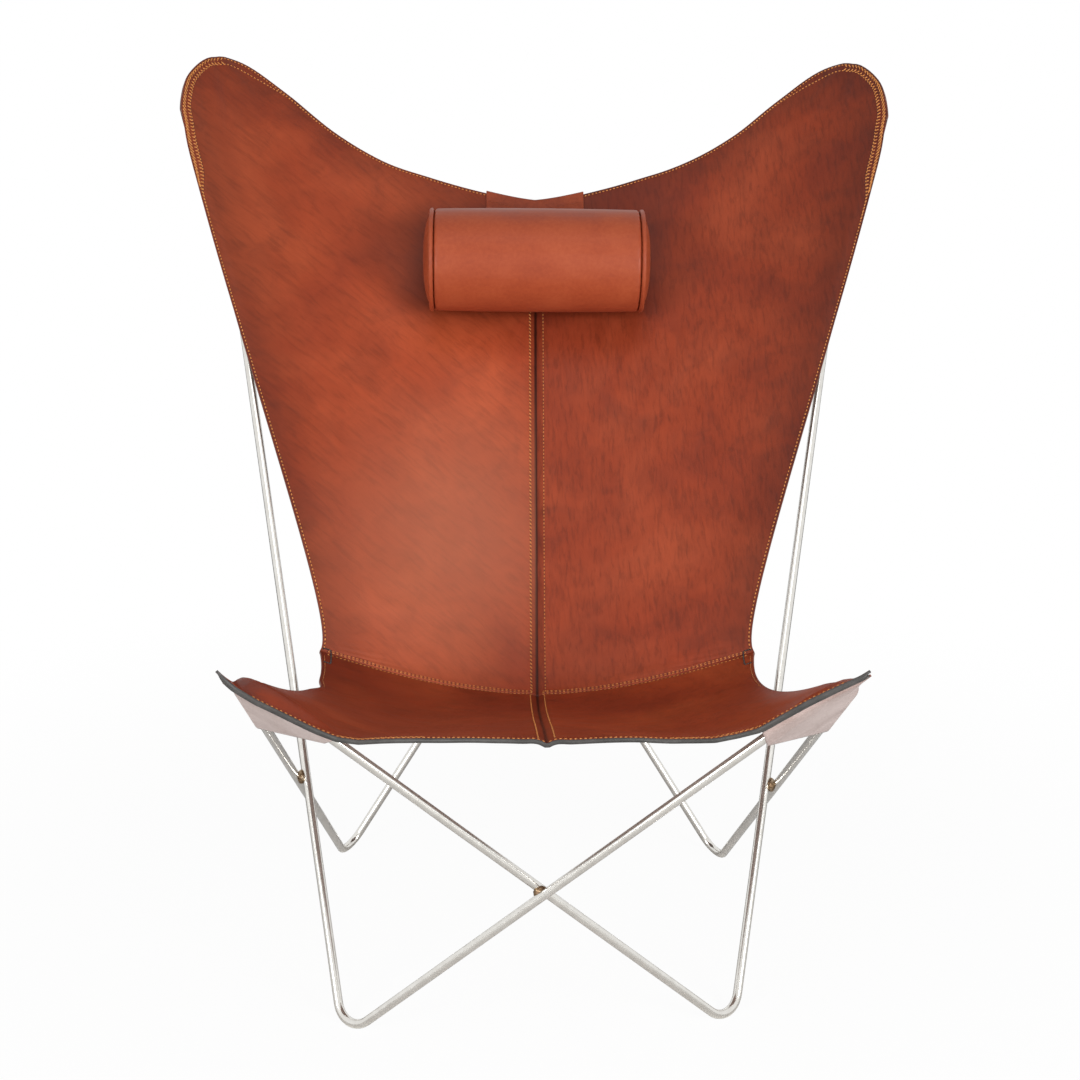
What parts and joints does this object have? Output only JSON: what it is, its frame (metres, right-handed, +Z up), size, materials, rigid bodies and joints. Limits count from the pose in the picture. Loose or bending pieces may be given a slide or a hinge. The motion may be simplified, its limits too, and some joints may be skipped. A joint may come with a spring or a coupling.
{
  "type": "butterfly sling chair",
  "caption": "Lounge chair: a leather sling hung by its corners on two crossing loops of bent steel rod, with a sliding neck roll on a counterweighted band.",
  "frame": {"origin": "centre of the bounding box footprint, on the floor under the feet", "axes": "+X towards the right as seen from in front, +Y from the front to the back, +Z up"},
  "size_m": [0.9298, 0.9078, 1.0221],
  "materials": {
    "steel_rod": "bright satin",
    "weld_bead": "rough, heat-tinted",
    "sling_leather": "waxed cognac grain, soft sheen",
    "leather_underside": "pale flesh side, matt",
    "roll_leather": "smooth cognac grain, soft sheen",
    "foam": "open-cell foam",
    "steel_bar": "mill finish"
  },
  "bodies": {
    "chair": {"side_rod_left": "steel_rod", "side_rod_right": "steel_rod", "seat_rod_left": "steel_rod", "seat_rod_right": "steel_rod", "front_rod_left": "steel_rod", "front_rod_right": "steel_rod", "rear_rod_left": "steel_rod", "rear_rod_right": "steel_rod", "front_foot_left": "steel_rod", "front_foot_right": "steel_rod", "rear_foot_left": "steel_rod", "rear_foot_right": "steel_rod", "wing_bend_left": "steel_rod", "wing_bend_right": "steel_rod", "seat_bend_left": "steel_rod", "seat_bend_right": "steel_rod", "weld_front": "weld_bead", "weld_rear": "weld_bead", "weld_left": "weld_bead", "weld_right": "weld_bead", "back_left": "sling_leather", "back_right": "sling_leather", "seat_left": "sling_leather", "seat_right": "sling_leather", "back_seam_strip": "leather_underside", "seat_seam_strip": "leather_underside", "fold_strip": "leather_underside", "front_edge_strip": "leather_underside", "wing_pocket_left": "leather_underside", "wing_pocket_right": "leather_underside", "seat_pocket_left": "leather_underside", "seat_pocket_right": "leather_underside", "band_over_edge": "roll_leather"},
    "headrest": {"roll_cover": "roll_leather", "roll_piping_left": "roll_leather", "roll_piping_right": "roll_leather", "roll_cap_left": "roll_leather", "roll_cap_right": "roll_leather", "roll_core": "foam", "band_front": "roll_leather"},
    "counterweight": {"counterweight_pouch": "roll_leather", "counterweight_bar": "steel_bar", "band_rear": "roll_leather"}
  },
  "joints": [
    {"name": "headrest_slide", "type": "slide", "parent": "chair", "child": "headrest", "axis": [0, -0.5395, -0.842], "range_m": [0, 0.09], "deforming": ["band_front"]},
    {"name": "counterweight_lift", "type": "slide", "parent": "chair", "child": "counterweight", "axis": [0, 0, 1], "range_m": [0, 0.09], "deforming": ["band_rear"]}
  ],
  "couplings": [
    {"joint": "counterweight_lift", "follows": "headrest_slide", "ratio": 1}
  ]
}
